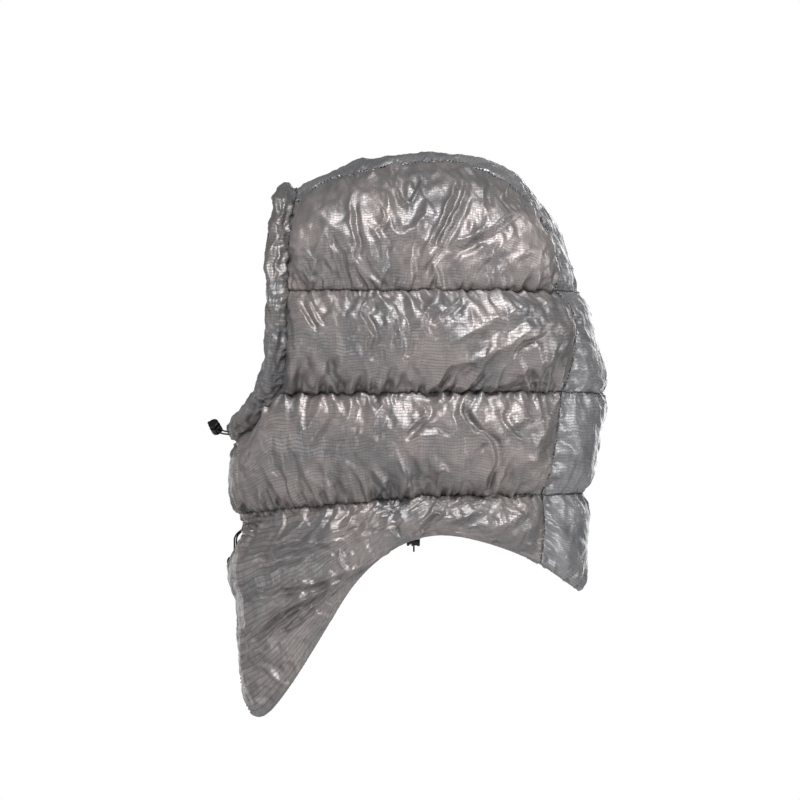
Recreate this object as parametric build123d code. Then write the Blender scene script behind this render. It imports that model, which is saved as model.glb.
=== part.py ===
"""Quilted down hood with a pointed bib, standing as it sits on a head.

Frame, in millimetres: the wearer faces -X, the wearer's left is -Y, and +Z is up.
The origin is the point inside the crown where the top of the head bears.
The hood is three quilted strips, left, centre and right. Level seams divide each strip into
four chambers of down. A drawcord in a gathered tunnel closes the face opening, and a second one in
a channel inside the neck seam has an adjuster in front and one at the right shoulder.
"""

from build123d import *
import math
import os

# ------------------------------------------------------------------ driving dimensions
SHELL_FABRIC = 0.6
LINING_FABRIC = 0.4
SEAM_LOFT = 4.0
CHAMBER_LOFT = 22.0
FILL_GAP = 0.5

CROWN_LEVEL = -85.0
CROWN_RISE = 106.0

# Seam rings, from the temple down: level, reach to the face, reach to the nape, half width.
RINGS = [
    (CROWN_LEVEL, 144.0, 112.0, 92.0),
    (-160.0, 143.0, 128.0, 86.0),
    (-240.0, 143.0, 115.0, 77.0),
    (-405.0, 134.0, 112.0, 80.0),
]
CHAMBERS = ["ear", "jaw", "bib"]
# How far each chamber swells past its two seam rings: to the face, to the nape, to the side.
SWELLS = {"ear": (6.0, 5.0, 8.0), "jaw": (6.0, 8.5, 10.0), "bib": (10.0, 4.0, 7.0)}
SWELL_STATIONS = [0.0, 0.2, 0.5, 0.8, 1.0]
CROWN_STATIONS = [0, 20, 40, 58, 72, 82, 88]

GUSSET_HALF_TOP = 38.0
GUSSET_HALF_BOTTOM = 62.0
GUSSET_TOP = 40.0
GUSSET_BOTTOM = -330.0

TUNNEL_RADIUS = 7.5
TUNNEL_FABRIC = 0.6
EDGE_ALLOWANCE = 2.5
HEM_BINDING = 3.0

CORD = 1.3
STRAND_SPACING = 2.7
CHANNEL_RADIUS = 4.0
CHANNEL_FABRIC = 0.5
CHANNEL_LEVEL = -252.0
EYELET_RADIUS = 2.6
TIGHT_RADIUS = 2.4
CHANNEL_FRONT = 131.6
CHANNEL_BACK = 102.6
CHANNEL_SIDE = 65.7
NECK_EXIT_ANGLE = 17.0
SIDE_EXIT_ANGLE = 84.8

LOCK_RADIUS = 4.3
LOCK_FLOOR = -4.7
LOCK_TOP = 1.9
LOCK_WALL = 0.8
BORE_RADIUS = 3.3
BODY_FOOT_ROUND = 1.2
BODY_RIM_ROUND = 0.4
BUTTON_RADIUS = 4.1
BUTTON_HEIGHT = 1.9
BUTTON_TOP_ROUND = 0.9
BUTTON_RIM_ROUND = 0.3
BUTTON_TRAVEL = 1.5
STEM_CLEARANCE = 0.05
STEM_FOOT = 0.75
STEM_IN_CAP = 0.5
CAP_GAP = 0.15
CORD_CLEARANCE = 0.2
HOLE_REACH = 0.85
SPRING_WIRE = 0.28
SPRING_TURNS = 2.5
SPRING_RADIUS = 2.4
SPRING_GAP = 0.01

BEYOND = 500.0
OUTLINE_STEP = 4.0

# ------------------------------------------------------------------ outlines, side view (X, Z)
# The front edge of the quilted strips, where the face tunnel is sewn on, forehead to chin.
FACE_EDGE = [
    (-99.2, -8.0),
    (-104.0, -34.0),
    (-105.8, -68.0),
    (-105.6, -110.0),
    (-107.0, -140.0),
    (-112.6, -161.0),
    (-124.6, -178.9),
    (-135.0, -190.6),
    (-140.5, -197.0),
]
CHIN_EDGE_LEVEL = -199.2

# The hem, from the nape over the shoulder to the tip of the bib.
HEM = [
    (112.0, -310.0),
    (82.0, -286.0),
    (52.0, -275.0),
    (7.0, -268.0),
    (-26.0, -279.0),
    (-56.0, -303.0),
    (-88.0, -353.0),
    (-111.0, -389.0),
    (-133.0, -403.0),
]

# Middle line of the face tunnel over the wearer's right half, forehead to chin (X, Y, Z).
TUNNEL_ROUTE = [
    (-107.0, 8.0, -11.5),
    (-109.0, 28.0, -21.0),
    (-112.5, 47.0, -44.0),
    (-114.0, 58.0, -76.0),
    (-113.5, 62.0, -108.0),
    (-115.5, 60.0, -137.0),
    (-121.5, 53.0, -159.0),
    (-131.5, 40.0, -175.0),
    (-141.5, 22.0, -187.0),
    (-145.5, 7.0, -191.0),
]


# The right run of the face drawcord, just before it turns out through the eyelet.
CORD_BEFORE_EYELET = (-143.0, 11.0, -190.0)

# Where the neck drawcord bends along its channel, in degrees as in channel_point.
SHORT_RUN_ANGLES = range(32, 80, 13)
LONG_RUN_ANGLES = range(2, -262, -15)


# ------------------------------------------------------------------ general helpers
def unit(vector):
    """The vector with length one."""
    return Vector(*vector).normalized()


def corner_radii(points, closed=False, share=0.45):
    """One radius for each corner of a route, as large as its two runs allow."""
    spots = [Vector(*p) for p in points]
    count = len(spots)
    corners = range(count) if closed else range(1, count - 1)
    radii = []
    for i in corners:
        before = spots[i] - spots[i - 1]
        after = spots[(i + 1) % count] - spots[i]
        turn = math.radians(before.get_angle(after))
        radii.append(share * min(before.length, after.length) / math.tan(turn / 2))
    return radii


def tube(points, radius, closed=False, tight=()):
    """A round tube along straight runs joined by tangent arcs, tight at the corners named."""
    radii = corner_radii(points, closed)
    for corner in tight:
        radii[corner - 1] = TIGHT_RADIUS
    path = FilletPolyline(*points, radius=radii, close=closed)
    start = Plane(origin=path @ 0, z_dir=path % 0)
    return sweep(start * Circle(radius), path=path), radii


def across(outline):
    """The solid that a closed side-view outline sweeps from side to side."""
    face = Plane.XZ * make_face(outline)
    return extrude(face, amount=BEYOND, both=True)


# ------------------------------------------------------------------ quilted form
def plan_section(level, face_reach, nape_reach, half_width):
    """Plan outline of the hood at one level: a face half ellipse and a nape half ellipse."""
    face_arc = Edge.make_ellipse(face_reach, half_width, start_angle=90, end_angle=270)
    nape_arc = Edge.make_ellipse(nape_reach, half_width, start_angle=270, end_angle=90)
    return Pos(0, 0, level) * Face(Wire([face_arc, nape_arc]))


def chamber_solid(name, depth):
    """One level chamber, filled solid, with its skin moved in by depth(loft)."""
    index = CHAMBERS.index(name)
    upper = RINGS[index]
    lower = RINGS[index + 1]
    swell = (0.0,) + SWELLS[name]
    sections = []
    for t in SWELL_STATIONS:
        bulge = math.sin(math.pi * t)
        inset = depth(SEAM_LOFT + (CHAMBER_LOFT - SEAM_LOFT) * bulge)
        level, *reaches = [a + (b - a) * t + s * bulge for a, b, s in zip(upper, lower, swell)]
        sections.append(plan_section(level, *[reach - inset for reach in reaches]))
    return loft(sections)


def crown_solid(depth):
    """The crown, filled solid: an egg above the temple seam, longer to the face."""
    level, *reaches = RINGS[0]
    side_inset = depth(SEAM_LOFT)
    rise = CROWN_RISE - depth(CROWN_RISE + CROWN_LEVEL)
    sections = []
    for angle in CROWN_STATIONS:
        shrink = math.cos(math.radians(angle))
        height = level + rise * math.sin(math.radians(angle))
        sections.append(plan_section(height, *[(r - side_inset) * shrink for r in reaches]))
    return loft(sections)


def outer_skin(loft_here):
    return 0.0


def under_shell(loft_here):
    return SHELL_FABRIC


def over_lining(loft_here):
    return loft_here - LINING_FABRIC


def inner_skin(loft_here):
    return loft_here


def layer(name, outside, inside):
    """The part of a chamber between two of its four surfaces."""
    if name == "crown":
        return crown_solid(outside) - crown_solid(inside)
    return chamber_solid(name, outside) - chamber_solid(name, inside)


def joined(pieces):
    """All pieces fused into one."""
    whole = pieces[0]
    for piece in pieces[1:]:
        whole = whole + piece
    return whole


# ------------------------------------------------------------------ cuts
def face_cutout():
    """Everything in front of the strips' front edge."""
    edge = Spline(*FACE_EDGE)
    rest = Polyline(
        FACE_EDGE[-1],
        (FACE_EDGE[-1][0] - OUTLINE_STEP, CHIN_EDGE_LEVEL),
        (-BEYOND, CHIN_EDGE_LEVEL),
        (-BEYOND, BEYOND),
        (FACE_EDGE[0][0], BEYOND),
        FACE_EDGE[0],
    )
    return across([edge, rest])


def below_hem():
    """Everything under the hem."""
    edge = Spline(*HEM)
    rest = Polyline(
        HEM[-1],
        (-BEYOND, HEM[-1][1] - OUTLINE_STEP),
        (-BEYOND, -BEYOND),
        (BEYOND, -BEYOND),
        (BEYOND, HEM[0][1] - OUTLINE_STEP),
        HEM[0],
    )
    return across([edge, rest])


def strip_zone(side, gap):
    """The space of the left, centre or right strip, drawn back by a gap from its neighbours."""
    grow = -gap if side == "centre" else gap
    top = GUSSET_HALF_TOP + grow
    bottom = GUSSET_HALF_BOTTOM + grow
    outline = Polyline((-top, GUSSET_TOP), (top, GUSSET_TOP), (bottom, GUSSET_BOTTOM),
                       (-bottom, GUSSET_BOTTOM), (-top, GUSSET_TOP))
    wedge = extrude(Plane.YZ * make_face(outline), amount=BEYOND, both=True)
    front_low = Pos(-BEYOND, 0, CROWN_LEVEL - BEYOND) * Box(2 * BEYOND, BEYOND, 2 * BEYOND)
    wedge = wedge - front_low
    if side == "centre":
        return wedge
    sign = -1 if side == "left" else 1
    half = Pos(0, sign * (BEYOND / 2 + gap), 0) * Box(4 * BEYOND, BEYOND, 4 * BEYOND)
    return half - wedge


# ------------------------------------------------------------------ cord locks
def lock_frame(centre, button_dir, cord_dir):
    """The plane of a cord lock: its Z is the button's axis and its X is the cord."""
    return Plane(origin=centre, x_dir=unit(cord_dir), z_dir=unit(button_dir))


def cross_hole(low, high):
    """The slot that both strands pass through, between two heights."""
    width = STRAND_SPACING + CORD + 2 * CORD_CLEARANCE
    return Pos(0, 0, (low + high) / 2) * Box(4 * LOCK_RADIUS, width, high - low)


def lock_body():
    """Cup with a cross hole, open at the button end."""
    height = LOCK_TOP - LOCK_FLOOR
    cup = Pos(0, 0, LOCK_FLOOR + height / 2) * Cylinder(LOCK_RADIUS, height)
    cup = fillet(cup.edges().group_by(Axis.Z)[0], BODY_FOOT_ROUND)
    cup = fillet(cup.edges().group_by(Axis.Z)[-1], BODY_RIM_ROUND)
    bore = Pos(0, 0, LOCK_FLOOR + LOCK_WALL + height / 2) * Cylinder(BORE_RADIUS, height)
    return cup - bore - cross_hole(-HOLE_REACH - BUTTON_TRAVEL, HOLE_REACH)


def lock_button():
    """Cap on a stem that slides in the cup and grips the strands with the edge of its hole."""
    stem_bottom = -HOLE_REACH - STEM_FOOT
    cap_bottom = LOCK_TOP + BUTTON_TRAVEL + CAP_GAP
    stem_height = cap_bottom - stem_bottom + STEM_IN_CAP
    stem = Cylinder(BORE_RADIUS - STEM_CLEARANCE, stem_height)
    stem = Pos(0, 0, stem_bottom + stem_height / 2) * stem
    cap = Pos(0, 0, cap_bottom + BUTTON_HEIGHT / 2) * Cylinder(BUTTON_RADIUS, BUTTON_HEIGHT)
    cap = fillet(cap.edges().group_by(Axis.Z)[-1], BUTTON_TOP_ROUND)
    cap = fillet(cap.edges().group_by(Axis.Z)[0], BUTTON_RIM_ROUND)
    return stem + cap - cross_hole(-HOLE_REACH, HOLE_REACH + BUTTON_TRAVEL)


def lock_spring():
    """Coil between the floor of the cup and the foot of the stem."""
    foot = LOCK_FLOOR + LOCK_WALL + SPRING_WIRE / 2 + SPRING_GAP
    head = -HOLE_REACH - STEM_FOOT - SPRING_WIRE / 2 - SPRING_GAP
    coil = Helix(pitch=(head - foot) / SPRING_TURNS, height=head - foot, radius=SPRING_RADIUS)
    wire = Plane(origin=coil @ 0, z_dir=coil % 0) * Circle(SPRING_WIRE / 2)
    return Pos(0, 0, foot) * sweep(wire, path=coil)


def along(start, direction, distance):
    """The point at a distance from start."""
    return tuple(Vector(*start) + unit(direction) * distance)


def channel_point(angle):
    """A point on the middle line of the neck channel; 0 is the front, 90 the right shoulder."""
    reach = CHANNEL_FRONT if math.cos(math.radians(angle)) > 0 else CHANNEL_BACK
    return (
        -reach * math.cos(math.radians(angle)),
        CHANNEL_SIDE * math.sin(math.radians(angle)),
        CHANNEL_LEVEL,
    )


# Each adjuster: where the strands turn out of their tunnel, the knee where they hang or stand
# free, the way they run from there, the lock's distance past the knee, the way its button
# points, the strands' length past the middle of the lock, and where they leave the fabric, as a
# distance from the turn.
FACE_TURN = (-142.0, -5.0, -191.2)
ADJUSTERS = {
    "face": {
        "turn": FACE_TURN,
        "knee": (-155.2, -5.0, -190.2),
        "cord": (-0.594, 0.689, 0.413),
        "lock_at": 9.5,
        "button": (-0.344, -0.682, 0.643),
        "tail": 9.2,
        "leaves_at": 7.0,
    },
    "neck": {
        "turn": channel_point(NECK_EXIT_ANGLE),
        "knee": (-146.7, 32.3, -265.0),
        "cord": (0.0, 0.0, -1.0),
        "lock_at": 23.0,
        "button": (-0.834, 0.552, 0.0),
        "tail": 9.2,
        "leaves_at": 16.5,
    },
    "side": {
        "turn": channel_point(SIDE_EXIT_ANGLE),
        "knee": (-12.0, 59.5, -260.0),
        "cord": (0.0, 0.0, -1.0),
        "lock_at": 12.4,
        "button": (-1.0, 0.0, 0.0),
        "tail": 8.0,
        "leaves_at": 5.0,
    },
}


def strand_offset(adjuster):
    """Half the spacing of the two strands, square to the cord and to the button."""
    square = unit(adjuster["button"]).cross(unit(adjuster["cord"]))
    return square * (STRAND_SPACING / 2)


def exit_line(adjuster):
    """The way from the turn in the tunnel to the knee outside."""
    return Vector(*adjuster["knee"]) - Vector(*adjuster["turn"])


def leaving_point(adjuster):
    """Where the strands change from held cord to free cord."""
    return along(adjuster["turn"], exit_line(adjuster), adjuster["leaves_at"])


def lock_centre(adjuster):
    """Where the strands cross the lock's axis."""
    return along(adjuster["knee"], adjuster["cord"], adjuster["lock_at"])


def loop_route(adjuster):
    """Out along one strand, round the tail and back along the other."""
    offset = strand_offset(adjuster)
    end = along(lock_centre(adjuster), adjuster["cord"], adjuster["tail"])
    middle = [Vector(*p) for p in (leaving_point(adjuster), adjuster["knee"], end)]
    out = [tuple(p + offset) for p in middle]
    back = [tuple(p - offset) for p in reversed(middle)]
    return out + back


def strand_end(adjuster, sign):
    """The last two points of a held cord that goes over into one strand of a free loop."""
    offset = strand_offset(adjuster) * sign
    ends = (adjuster["turn"], leaving_point(adjuster))
    return [tuple(Vector(*p) + offset) for p in ends]


def eyelet(adjuster):
    """The round hole that both strands leave through."""
    line = exit_line(adjuster)
    plane = Plane(origin=adjuster["turn"], z_dir=line.normalized())
    return extrude(plane * Circle(EYELET_RADIUS), amount=line.length)


def adjuster_parts(name, adjuster):
    """The free loop of cord and its lock: cup, button and spring."""
    place = lock_frame(lock_centre(adjuster), adjuster["button"], adjuster["cord"])
    loop_cord, radii = tube(loop_route(adjuster), CORD / 2)
    print(name, "loop radii", [round(r, 2) for r in radii])
    return {
        f"{name}_cord_loop": loop_cord,
        f"{name}_lock_body": place * lock_body(),
        f"{name}_lock_button": place * lock_button(),
        f"{name}_lock_spring": place * lock_spring(),
    }


# ------------------------------------------------------------------ tunnels and their cords
def face_tunnel():
    """The gathered fabric tunnel round the face opening."""
    left_half = [(x, -y, z) for x, y, z in reversed(TUNNEL_ROUTE)]
    route = TUNNEL_ROUTE + left_half
    outside, radii = tube(route, TUNNEL_RADIUS, closed=True)
    inside, radii = tube(route, TUNNEL_RADIUS - TUNNEL_FABRIC, closed=True)
    return outside - inside - eyelet(ADJUSTERS["face"])


def face_drawcord():
    """Two runs of elastic from the forehead, where they are sewn in, to the eyelet at the chin."""
    right = TUNNEL_ROUTE[:-1] + [CORD_BEFORE_EYELET]
    left = [(x, -y, z) for x, y, z in TUNNEL_ROUTE[:-1]]
    runs = []
    for half, sign in ((right, 1), (left, -1)):
        run, radii = tube(half + strand_end(ADJUSTERS["face"], sign), CORD / 2)
        print("face drawcord radii", [round(r, 1) for r in radii])
        runs.append(run)
    return Compound(children=runs)


def channel_ring(radius):
    """A full tube of one radius round the neck channel's middle line."""
    front = Edge.make_ellipse(CHANNEL_FRONT, CHANNEL_SIDE, start_angle=90, end_angle=270)
    back = Edge.make_ellipse(CHANNEL_BACK, CHANNEL_SIDE, start_angle=270, end_angle=90)
    path = Pos(0, 0, CHANNEL_LEVEL) * Wire([front, back])
    start = Plane(origin=path @ 0, z_dir=path % 0)
    return sweep(start * Circle(radius), path=path)


def neck_channel():
    """The fabric channel that is sewn inside the neck seam."""
    ring = channel_ring(CHANNEL_RADIUS) - channel_ring(CHANNEL_RADIUS - CHANNEL_FABRIC)
    return ring - eyelet(ADJUSTERS["neck"]) - eyelet(ADJUSTERS["side"])


def neck_drawcord():
    """The short run and the long run of elastic between the two adjusters."""
    runs = []
    neck, side = ADJUSTERS["neck"], ADJUSTERS["side"]
    routes = (
        (-1, SHORT_RUN_ANGLES, -1),
        (1, LONG_RUN_ANGLES, 1),
    )
    for neck_sign, angles, side_sign in routes:
        start = list(reversed(strand_end(neck, neck_sign)))
        route = start + [channel_point(a) for a in angles] + strand_end(side, side_sign)
        run, radii = tube(route, CORD / 2, tight=(1, len(route) - 2))
        print("neck drawcord radii", [round(r, 1) for r in radii])
        runs.append(run)
    return Compound(children=runs)


# ------------------------------------------------------------------ build
def main():
    parts = {}
    face_cut = face_cutout()
    hem_cut = below_hem()
    face_cut_back = Pos(EDGE_ALLOWANCE, 0, -EDGE_ALLOWANCE) * face_cut
    hem_cut_up = Pos(0, 0, HEM_BINDING) * hem_cut
    neck_hole = eyelet(ADJUSTERS["neck"])
    levels = ["crown"] + CHAMBERS

    shells, linings, fills, walls = {}, {}, {}, {}
    for name in levels:
        skins = {
            "shell": (shells, outer_skin, under_shell),
            "lining": (linings, over_lining, inner_skin),
            "fill": (fills, under_shell, over_lining),
        }
        for store, outside, inside in skins.values():
            piece = layer(name, outside, inside) - face_cut_back - hem_cut_up
            store[name] = piece - neck_hole if name == "bib" else piece
        walls[name] = layer(name, outer_skin, inner_skin)

    for side in ("left", "centre", "right"):
        zone = strip_zone(side, 0.0)
        parts[f"shell_{side}"] = joined([shells[n] & zone for n in levels])
        parts[f"lining_{side}"] = joined([linings[n] & zone for n in levels])
        inner_zone = strip_zone(side, FILL_GAP)
        for name in levels:
            parts[f"down_{name}_{side}"] = fills[name] & inner_zone

    allowance = joined([walls[n] & (face_cut_back - face_cut) for n in levels[:3]])
    parts["face_tunnel"] = Compound(children=[face_tunnel(), allowance])
    parts["hem_binding"] = (walls["bib"] & hem_cut_up) - hem_cut
    parts["neck_channel"] = neck_channel()
    parts["face_drawcord"] = face_drawcord()
    parts["neck_drawcord"] = neck_drawcord()
    for name, adjuster in ADJUSTERS.items():
        parts.update(adjuster_parts(name, adjuster))

    os.makedirs("parts", exist_ok=True)
    for node, solid in parts.items():
        export_step(solid, f"parts/{node}.step")
        print(node, len(solid.solids()), round(solid.volume, 1), solid.is_valid)


if __name__ == "__main__":
    main()
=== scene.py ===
"""Looks of the quilted down hood: puffed nylon chambers, gathered tunnels, cords and cord locks."""
import math
import bpy
import numpy as np
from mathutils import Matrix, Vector


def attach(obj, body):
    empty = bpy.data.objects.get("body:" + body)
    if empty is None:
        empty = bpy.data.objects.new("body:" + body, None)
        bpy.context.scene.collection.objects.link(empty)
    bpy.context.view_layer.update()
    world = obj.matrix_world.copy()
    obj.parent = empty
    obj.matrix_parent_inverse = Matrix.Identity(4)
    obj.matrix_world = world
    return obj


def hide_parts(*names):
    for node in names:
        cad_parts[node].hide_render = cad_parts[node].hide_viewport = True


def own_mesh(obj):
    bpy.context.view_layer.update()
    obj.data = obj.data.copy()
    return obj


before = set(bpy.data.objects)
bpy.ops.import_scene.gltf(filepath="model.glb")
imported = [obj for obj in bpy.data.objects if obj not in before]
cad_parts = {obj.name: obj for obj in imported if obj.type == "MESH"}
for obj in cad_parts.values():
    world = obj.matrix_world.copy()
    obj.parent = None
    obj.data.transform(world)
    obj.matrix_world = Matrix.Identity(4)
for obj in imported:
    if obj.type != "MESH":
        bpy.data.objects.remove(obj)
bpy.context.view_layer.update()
MM = 0.001

# ---- driving dimensions (mm)
VIEW_WIDTH = 600.0
VIEW_CENTRE = (-22.5, -165.75)
CAMERA_DISTANCE = 5200.0

# Cell of each grid, and how many times a cell is divided afterwards.
SIM_CELL = 2.7
REFINE = 3
LINING_CELL = 3.6
LINING_REFINE = 2
FILL_CELL = 6.0
STITCH_CELL = 2.0

# Cloth simulation: enlarged scale, frames, spare cloth, pressure and the folds taken from it.
SIM_SCALE = 10.0
SIM_FRAMES = 26
SIM_EXCESS = 0.08
SIM_PRESSURE = 1.2
SIM_SLACK = 2.4
SIM_SLACK_BLUR = 1.6
FOLD_BLUR = 13.0
FOLD_CAP = 0.6
FOLD_FADE = 9.0

# Seam allowance turned in, tallest fold, and the stretch over which a ring's folds close.
ALLOWANCE = 1.4
HEIGHT_CAP = 5.0
CLOSURE = 14.0
# The fill's two faces between lining and shell, its margin in cells, and how full the pads are.
FILL_SHARES = (0.52, 0.42)
FILL_MARGIN = 3
HOOD_CENTRE = np.array([-10.0, 0.0, -130.0])

# Visible seam rings: level at the nape, level at the face, reach to face, reach to nape, half width.
RING_1 = (-85.0, -85.0, 144.0, 112.0, 87.0)
RING_2 = (-160.0, -160.0, 143.0, 130.0, 84.0)
RING_3 = (-236.0, -250.0, 143.0, 115.0, 76.0)


def link(name, data):
    obj = bpy.data.objects.new(name, data)
    bpy.context.scene.collection.objects.link(obj)
    return obj


def make_camera():
    data = bpy.data.cameras.new("camera")
    data.sensor_width = 36
    data.lens = data.sensor_width * CAMERA_DISTANCE / VIEW_WIDTH
    data.clip_end = 50
    obj = link("camera", data)
    obj.location = (VIEW_CENTRE[0] * MM, -CAMERA_DISTANCE * MM, VIEW_CENTRE[1] * MM)
    obj.rotation_euler = (math.pi / 2, 0, 0)
    bpy.context.scene.camera = obj


make_camera()


def put_piece(name, data, material, nodes=(), body="root"):
    """A piece with its material, which rides on a body and stands for its CAD nodes."""
    data.materials.append(material)
    obj = link(name, data)
    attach(obj, body)
    if nodes:
        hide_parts(*nodes)
    return obj


def finish_cad(node, material):
    """Give a CAD node a better material."""
    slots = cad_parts[node].data.materials
    slots.clear()
    slots.append(material)


# ---- free cord loops
CORD = 1.3
STRAND_SPACING = 2.7
# A cord turns in its tunnel, leaves the fabric past that, goes round its knee and on to its lock and
# tail. The last of the bends keeps it straight where the lock slides.
ADJUSTERS = {
    "face": {
        "turn": (-142.0, -5.0, -191.2), "knee": (-155.2, -5.0, -190.2), "way": (-0.594, 0.689, 0.413),
        "lock_at": 9.5, "button": (-0.344, -0.682, 0.643), "tail": 9.2, "leaves_at": 7.0,
        "bends": [(-155.2, -5.0, -190.2), (-157.6, -2.2, -188.5)],
    },
    "neck": {
        "turn": (-125.85, 19.21, -252.0), "knee": (-146.7, 32.3, -265.0), "way": (0.0, 0.0, -1.0),
        "lock_at": 23.0, "button": (-0.834, 0.552, 0.0), "tail": 9.2, "leaves_at": 16.5,
        "bends": [(-139.0, 30.8, -262.0), (-146.7, 32.3, -268.0), (-146.7, 32.3, -275.0)],
    },
    "side": {
        "turn": (-11.93, 65.43, -252.0), "knee": (-12.0, 59.5, -260.0), "way": (0.0, 0.0, -1.0),
        "lock_at": 12.4, "button": (-1.0, 0.0, 0.0), "tail": 8.0, "leaves_at": 5.0,
        "bends": [(-12.0, 59.5, -260.0), (-12.0, 59.5, -265.0)],
    },
}


def loop_route(turn, knee, way, lock_at, button, tail, leaves_at, bends):
    """Out along one strand, round the tail and back along the other, in metres."""
    turn, knee = Vector(turn), Vector(knee)
    way, button = Vector(way).normalized(), Vector(button).normalized()
    offset = button.cross(way) * (STRAND_SPACING / 2)
    leaving = turn + (knee - turn).normalized() * leaves_at
    middle = [leaving, *(Vector(p) for p in bends), knee + way * (lock_at + tail)]
    return [(p + offset) * MM for p in middle] + [(p - offset) * MM for p in reversed(middle)]


def cord_curve(name, points):
    """A smooth round cord with these control points."""
    curve = bpy.data.curves.new(name, "CURVE")
    curve.dimensions = "3D"
    curve.bevel_depth = CORD * MM / 2
    curve.bevel_resolution = 4
    curve.resolution_u = 24
    curve.use_fill_caps = True
    line = curve.splines.new("NURBS")
    line.points.add(len(points) - 1)
    for point, place in zip(line.points, points):
        point.co = (*place, 1)
    line.order_u = 3
    line.use_endpoint_u = True
    return curve


def free_loops(material):
    for name, adjuster in ADJUSTERS.items():
        points = loop_route(**adjuster)
        loop = put_piece(f"{name}_loop", cord_curve(f"{name}_loop", points), material,
                         [f"{name}_cord_loop"])


def build_springs():
    """Each lock's coil as a piece of its own, with its own mesh, riding on its lock."""
    for name, adjuster in ADJUSTERS.items():
        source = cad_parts[f"{name}_lock_spring"]
        mesh = source.data.copy()
        mesh.transform(source.matrix_world)
        mesh.materials.clear()
        coil = put_piece(f"{name}_coil", mesh, STEEL, [f"{name}_lock_spring"],
                         f"{name}_lock")
        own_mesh(coil)


# ---- curves
def run_along(points):
    """Distance along a line of points, starting at zero."""
    steps = np.linalg.norm(np.diff(np.array(points, float), axis=0), axis=1)
    return np.concatenate([[0], np.cumsum(steps)])


def length(line):
    return float(run_along(line)[-1])


def points_at(line, spots):
    """The points of a line of points at these distances along it."""
    total = run_along(line)
    return np.stack([np.interp(spots, total, line[:, k]) for k in range(3)], -1)


def spline(points, count):
    """Points evenly spaced along a natural cubic curve through the given ones."""
    p = np.array(points, float)
    t = run_along(p)
    step = np.diff(t)
    n = len(p)
    if n == 2:
        return p[0] + (p[1] - p[0]) * np.linspace(0, 1, count)[:, None]
    a = np.zeros((n, n))
    b = np.zeros((n, p.shape[1]))
    a[0, 0] = a[-1, -1] = 1
    for i in range(1, n - 1):
        a[i, i - 1 : i + 2] = step[i - 1], 2 * (step[i - 1] + step[i]), step[i]
        b[i] = 6 * ((p[i + 1] - p[i]) / step[i] - (p[i] - p[i - 1]) / step[i - 1])
    bend = np.linalg.solve(a, b)

    def at(x):
        i = np.clip(np.searchsorted(t, x, side="right") - 1, 0, n - 2)
        h = step[i][:, None]
        u = ((x - t[i]) / step[i])[:, None]
        w = 1 - u
        cubic = (w**3 - w) * bend[i] + (u**3 - u) * bend[i + 1]
        return w * p[i] + u * p[i + 1] + cubic * h * h / 6

    spots = np.linspace(0, t[-1], 40 * n)
    run = run_along(at(spots))
    return at(np.interp(np.linspace(0, run[-1], count), run, spots))


def on_ring(ring, x):
    """The left-hand point of a seam ring at one x."""
    nape_level, face_level, face, nape, side = ring
    reach = face if x < 0 else nape
    level = nape_level + (face_level - nape_level) * min(1, max(0, -x / face))
    return (x, -side * math.sqrt(max(0.0, 1 - (x / reach) ** 2)), level)


def ring_curve(ring, x0, x1):
    """The left-hand stretch of a seam ring between two x, as closely spaced points."""
    ends = [math.acos(-x / (ring[2] if x < 0 else ring[3])) for x in (x0, x1)]
    cosines = [-math.cos(a) for a in np.linspace(*ends, 40)]
    return [on_ring(ring, c * (ring[2] if c < 0 else ring[3])) for c in cosines]


def mirrored(points):
    """The same line on the wearer's right."""
    return [(x, -y, z) for x, y, z in points]


# ---- seam lines, wearer's left
FOREHEAD = (-100.5, -34.0, -20.0)
CHIN = (-144.5, 0.0, -199.0)
CROWN_BACK = (86.0, -46.0, -40.0)
NAPE_CORNER = (81.0, -56.0, -287.0)
BIB_TIP = (-133.0, 0.0, -402.0)
NECK_FRONT = (-142.5, 0.0, -250.0)
# How far each seam ring runs, from the face to the centre strip (X), and the points it meets them at.
SPAN_1 = (-106.0, 92.0)
SPAN_2 = (-112.0, 97.0)
SPAN_3 = (-142.9, 82.0)
FACE_1, BACK_1 = (on_ring(RING_1, x) for x in SPAN_1)
FACE_2, BACK_2 = (on_ring(RING_2, x) for x in SPAN_2)
BACK_3 = on_ring(RING_3, SPAN_3[1])
SEAM_1 = ring_curve(RING_1, *SPAN_1)
SEAM_2 = ring_curve(RING_2, *SPAN_2)
SEAM_3 = ring_curve(RING_3, *SPAN_3)

FACE_CROWN = [FOREHEAD, (-103.5, -47, -42), (-105.5, -55.5, -65), FACE_1]
FACE_EAR = [FACE_1, (-106.3, -62, -108), (-107.5, -61, -138), FACE_2]
FACE_JAW = [CHIN, (-141.5, -17, -197), (-134, -30.5, -189.5), (-124, -43, -177.5), FACE_2]
GUSSET_CROWN = [
    FOREHEAD, (-82, -36.5, -6), (-60, -38, 2), (-37, -38.5, 8), (-12, -38.5, 10.5),
    (10, -38.5, 11.5), (30, -39, 8.5), (50, -40, -0.5), (67, -42, -13),
    (79, -44.5, -27), CROWN_BACK,
]
GUSSET_CROWN_BACK = [CROWN_BACK, (92, -48, -54), (94.5, -49.5, -70), BACK_1]
GUSSET_EAR = [BACK_1, (101.5, -52, -94), (107, -53, -110), (106, -54.5, -130), (102, -55.5, -148), BACK_2]
GUSSET_JAW = [BACK_2, (95.5, -58, -172), (93.5, -59.5, -190), (90, -58, -210), (85, -55, -228), BACK_3]
GUSSET_NAPE = [BACK_3, (84, -54.5, -255), (83.5, -55.5, -270), NAPE_CORNER]
FRONT_JAW = [CHIN, (-147.5, 0, -212), (-147, 0, -232), NECK_FRONT]
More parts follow.
